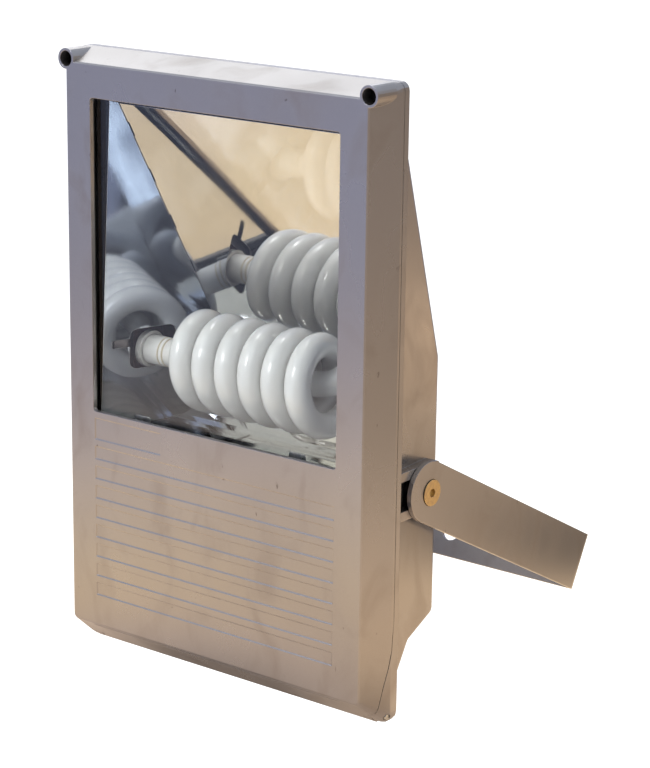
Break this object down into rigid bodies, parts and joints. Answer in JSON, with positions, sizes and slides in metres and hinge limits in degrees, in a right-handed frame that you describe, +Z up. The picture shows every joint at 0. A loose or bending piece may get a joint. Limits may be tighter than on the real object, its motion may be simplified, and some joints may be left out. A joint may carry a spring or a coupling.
{
  "type": "floodlight",
  "caption": "Rectangular floodlight with a hinged glass door over a folded reflector and spiral lamp, on a flat U-shaped tilting yoke.",
  "frame": {"origin": "centre of the hole in the yoke's crossbar, on its rear face", "axes": "+Z up, -Y the way the lamp faces, +X to the right seen along +Y"},
  "size_m": [0.2408, 0.261, 0.3746],
  "materials": {
    "casting": "satin silver-grey paint on die-cast aluminium",
    "yoke": "satin silver-grey paint",
    "plated_steel": "zinc plated",
    "passivated_steel": "yellow passivated",
    "black_steel": "black oxide",
    "glass": "clear toughened glass",
    "silicone": "matte",
    "mirror_sheet": "mirror-bright anodised sheet",
    "lamp_glass": "white phosphor behind glossy glass",
    "lamp_plastic": "satin white",
    "ceramic": "glazed white",
    "ballast_case": "satin",
    "terminal_plastic": "matte",
    "brown_lead": "matte",
    "green_lead": "matte",
    "gland_plastic": "matte grey"
  },
  "bodies": {
    "yoke": {"yoke": "yoke"},
    "head": {"housing": "casting", "pivot_screw_left": "passivated_steel", "pivot_screw_right": "passivated_steel", "pivot_nut_left": "plated_steel", "pivot_nut_right": "plated_steel", "hinge_pin_left": "plated_steel", "hinge_pin_right": "plated_steel", "door_gasket": "silicone", "reflector_sheet": "mirror_sheet", "reflector_cheek_left": "mirror_sheet", "reflector_cheek_right": "mirror_sheet", "reflector_screw_left": "plated_steel", "reflector_screw_right": "plated_steel", "lamp_tube": "lamp_glass", "lamp_base": "lamp_plastic", "lampholder": "ceramic", "lampholder_bracket": "plated_steel", "bracket_screw_lower": "plated_steel", "bracket_screw_upper": "plated_steel", "gear_shelf": "plated_steel", "shelf_screw_left": "plated_steel", "shelf_screw_right": "plated_steel", "gear_tray": "plated_steel", "tray_screw_left": "plated_steel", "tray_screw_right": "plated_steel", "ballast": "ballast_case", "ballast_screw_left": "plated_steel", "ballast_screw_right": "plated_steel", "terminal_block": "terminal_plastic", "terminal_screw": "plated_steel", "earth_screw": "passivated_steel", "mains_lead": "brown_lead", "earth_lead": "green_lead", "lamp_lead": "brown_lead", "gland_body": "gland_plastic", "gland_locknut": "gland_plastic", "gland_seal": "silicone", "gland_cap": "gland_plastic"},
    "door": {"door_frame": "casting", "door_glass": "glass", "glass_gasket": "silicone", "glass_clip_upper_left": "plated_steel", "glass_clip_upper_right": "plated_steel", "glass_clip_lower_left": "plated_steel", "glass_clip_lower_right": "plated_steel", "clip_screw_upper_left": "plated_steel", "clip_screw_upper_right": "plated_steel", "clip_screw_lower_left": "plated_steel", "clip_screw_lower_right": "plated_steel", "door_washer_left": "silicone", "door_washer_right": "silicone"},
    "screw_left": {"door_screw_left": "black_steel"},
    "screw_right": {"door_screw_right": "black_steel"}
  },
  "joints": [
    {"name": "head_tilt", "type": "hinge", "parent": "yoke", "child": "head", "pos_m": [0, -0.17297, 0.09004], "axis": [1, 0, 0], "range_deg": [-105, 70]},
    {"name": "door_hinge", "type": "hinge", "parent": "head", "child": "door", "pos_m": [0, -0.23247, -0.02876], "axis": [1, 0, 0], "range_deg": [0, 95]},
    {"name": "screw_slide_left", "type": "slide", "parent": "door", "child": "screw_left", "axis": [0, -1, 0], "range_m": [0, 0.008]},
    {"name": "screw_slide_right", "type": "slide", "parent": "door", "child": "screw_right", "axis": [0, -1, 0], "range_m": [0, 0.008]}
  ]
}
